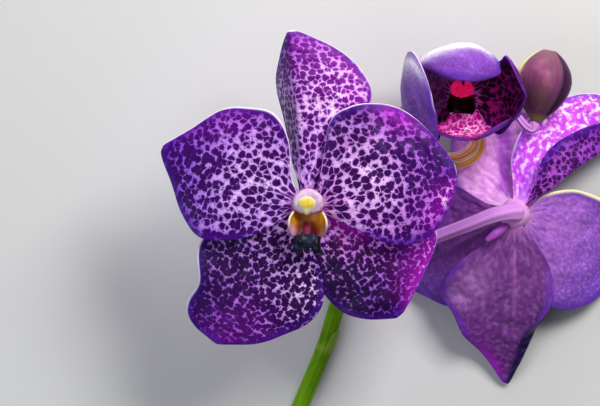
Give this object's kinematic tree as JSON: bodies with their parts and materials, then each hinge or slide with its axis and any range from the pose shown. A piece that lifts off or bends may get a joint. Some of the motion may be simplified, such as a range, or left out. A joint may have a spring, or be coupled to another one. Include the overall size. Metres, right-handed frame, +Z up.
{
  "type": "cut vanda orchid",
  "caption": "Cut vanda orchid stem lying down, with a spotted violet bloom facing up, another turned away, an opening bloom and a bud.",
  "frame": {"origin": "middle of the bounding box in plan, on the surface that the stem lies on", "axes": "+Z up, the way the open bloom faces; +Y the way the open bloom's dorsal sepal points; the stem runs from the cut end at -X -Y to its tip at +Y"},
  "size_m": [0.1584, 0.1876, 0.0605],
  "materials": {
    "petal": "smooth waxy petal skin, violet with dark purple spots on a pale ground",
    "sepal": "smooth waxy sepal skin, violet with dark purple spots and paler veins",
    "column": "smooth, white flushed with lilac",
    "anther_cap": "smooth, yellow with a pale beak",
    "lip": "glossy blue-black middle lobe, yellow and crimson throat",
    "stalk": "smooth, ridged along its length, pinkish lilac",
    "stem": "smooth, fresh green",
    "bud": "smooth, mauve brown with a gold green edge"
  },
  "bodies": {
    "root": {"bud": "bud", "bud_stalk": "stalk", "front_anther_cap": "anther_cap", "front_column": "column", "front_dorsal_sepal": "sepal", "front_left_petal": "petal", "front_left_sepal": "sepal", "front_lip": "lip", "front_right_petal": "petal", "front_right_sepal": "sepal", "front_stalk": "stalk", "opening_anther_cap": "anther_cap", "opening_column": "column", "opening_dorsal_sepal": "sepal", "opening_left_petal": "petal", "opening_left_sepal": "sepal", "opening_lip": "lip", "opening_right_petal": "petal", "opening_right_sepal": "sepal", "opening_stalk": "stalk", "rear_anther_cap": "anther_cap", "rear_column": "column", "rear_dorsal_sepal": "sepal", "rear_left_petal": "petal", "rear_left_sepal": "sepal", "rear_lip": "lip", "rear_right_petal": "petal", "rear_right_sepal": "sepal", "rear_stalk": "stalk", "stem": "stem"}
  },
  "joints": []
}
